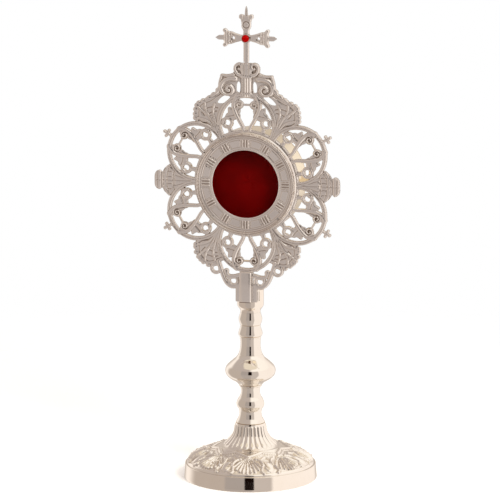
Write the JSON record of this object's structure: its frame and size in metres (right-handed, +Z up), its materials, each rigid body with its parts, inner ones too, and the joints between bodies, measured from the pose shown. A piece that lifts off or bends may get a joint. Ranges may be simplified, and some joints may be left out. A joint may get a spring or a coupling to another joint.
{
  "type": "monstrance",
  "caption": "Small standing reliquary monstrance: embossed round foot, turned stem, pierced glory round a glazed window, cross with a red stone, hinged rear door.",
  "frame": {"origin": "centre of the foot's underside, on the surface it stands on", "axes": "+Z up along the stem; the window faces -Y; +X to the right as seen from the front"},
  "size_m": [0.1206, 0.085, 0.3045],
  "materials": {
    "polished_silver": "polished, silver plated brass",
    "cast_silver": "satin casting, silver plated",
    "steel": "turned",
    "red_stone": "faceted glass stone",
    "clear_glass": "clear",
    "red_velvet": "velvet"
  },
  "bodies": {
    "body": {"foot_shell": "polished_silver", "lower_stem": "polished_silver", "knop_collar": "polished_silver", "knop": "polished_silver", "upper_stem": "polished_silver", "lower_bead_ring": "polished_silver", "upper_bead_ring": "polished_silver", "stem_cap": "polished_silver", "tie_rod": "steel", "clamp_washer": "steel", "rod_nut": "steel", "glory_frame": "cast_silver", "tang_screws": "steel", "cross_body": "cast_silver", "gem_collet": "cast_silver", "cross_gem": "red_stone", "front_bezel": "cast_silver", "window_glass": "clear_glass", "glass_retainer": "cast_silver", "case_drum": "polished_silver", "case_screws": "steel", "hinge_leaf": "polished_silver", "leaf_rivets": "steel", "hinge_pin": "steel", "catch_screw": "steel"},
    "door": {"rear_door": "polished_silver", "door_leaf": "polished_silver", "door_rivets": "steel", "door_knob": "polished_silver", "relic_tray": "cast_silver", "tray_pillar": "polished_silver", "tray_screw": "steel", "velvet_pad": "red_velvet"},
    "catch": {"turn_catch": "polished_silver"}
  },
  "joints": [
    {"name": "door_hinge", "type": "hinge", "parent": "body", "child": "door", "pos_m": [-0.0363, 0.0114, 0.192], "axis": [0, 0, 1], "range_deg": [0, 110]},
    {"name": "catch_turn", "type": "hinge", "parent": "body", "child": "catch", "pos_m": [0.036, 0.013, 0.192], "axis": [0, -1, 0], "range_deg": [0, 90]}
  ]
}
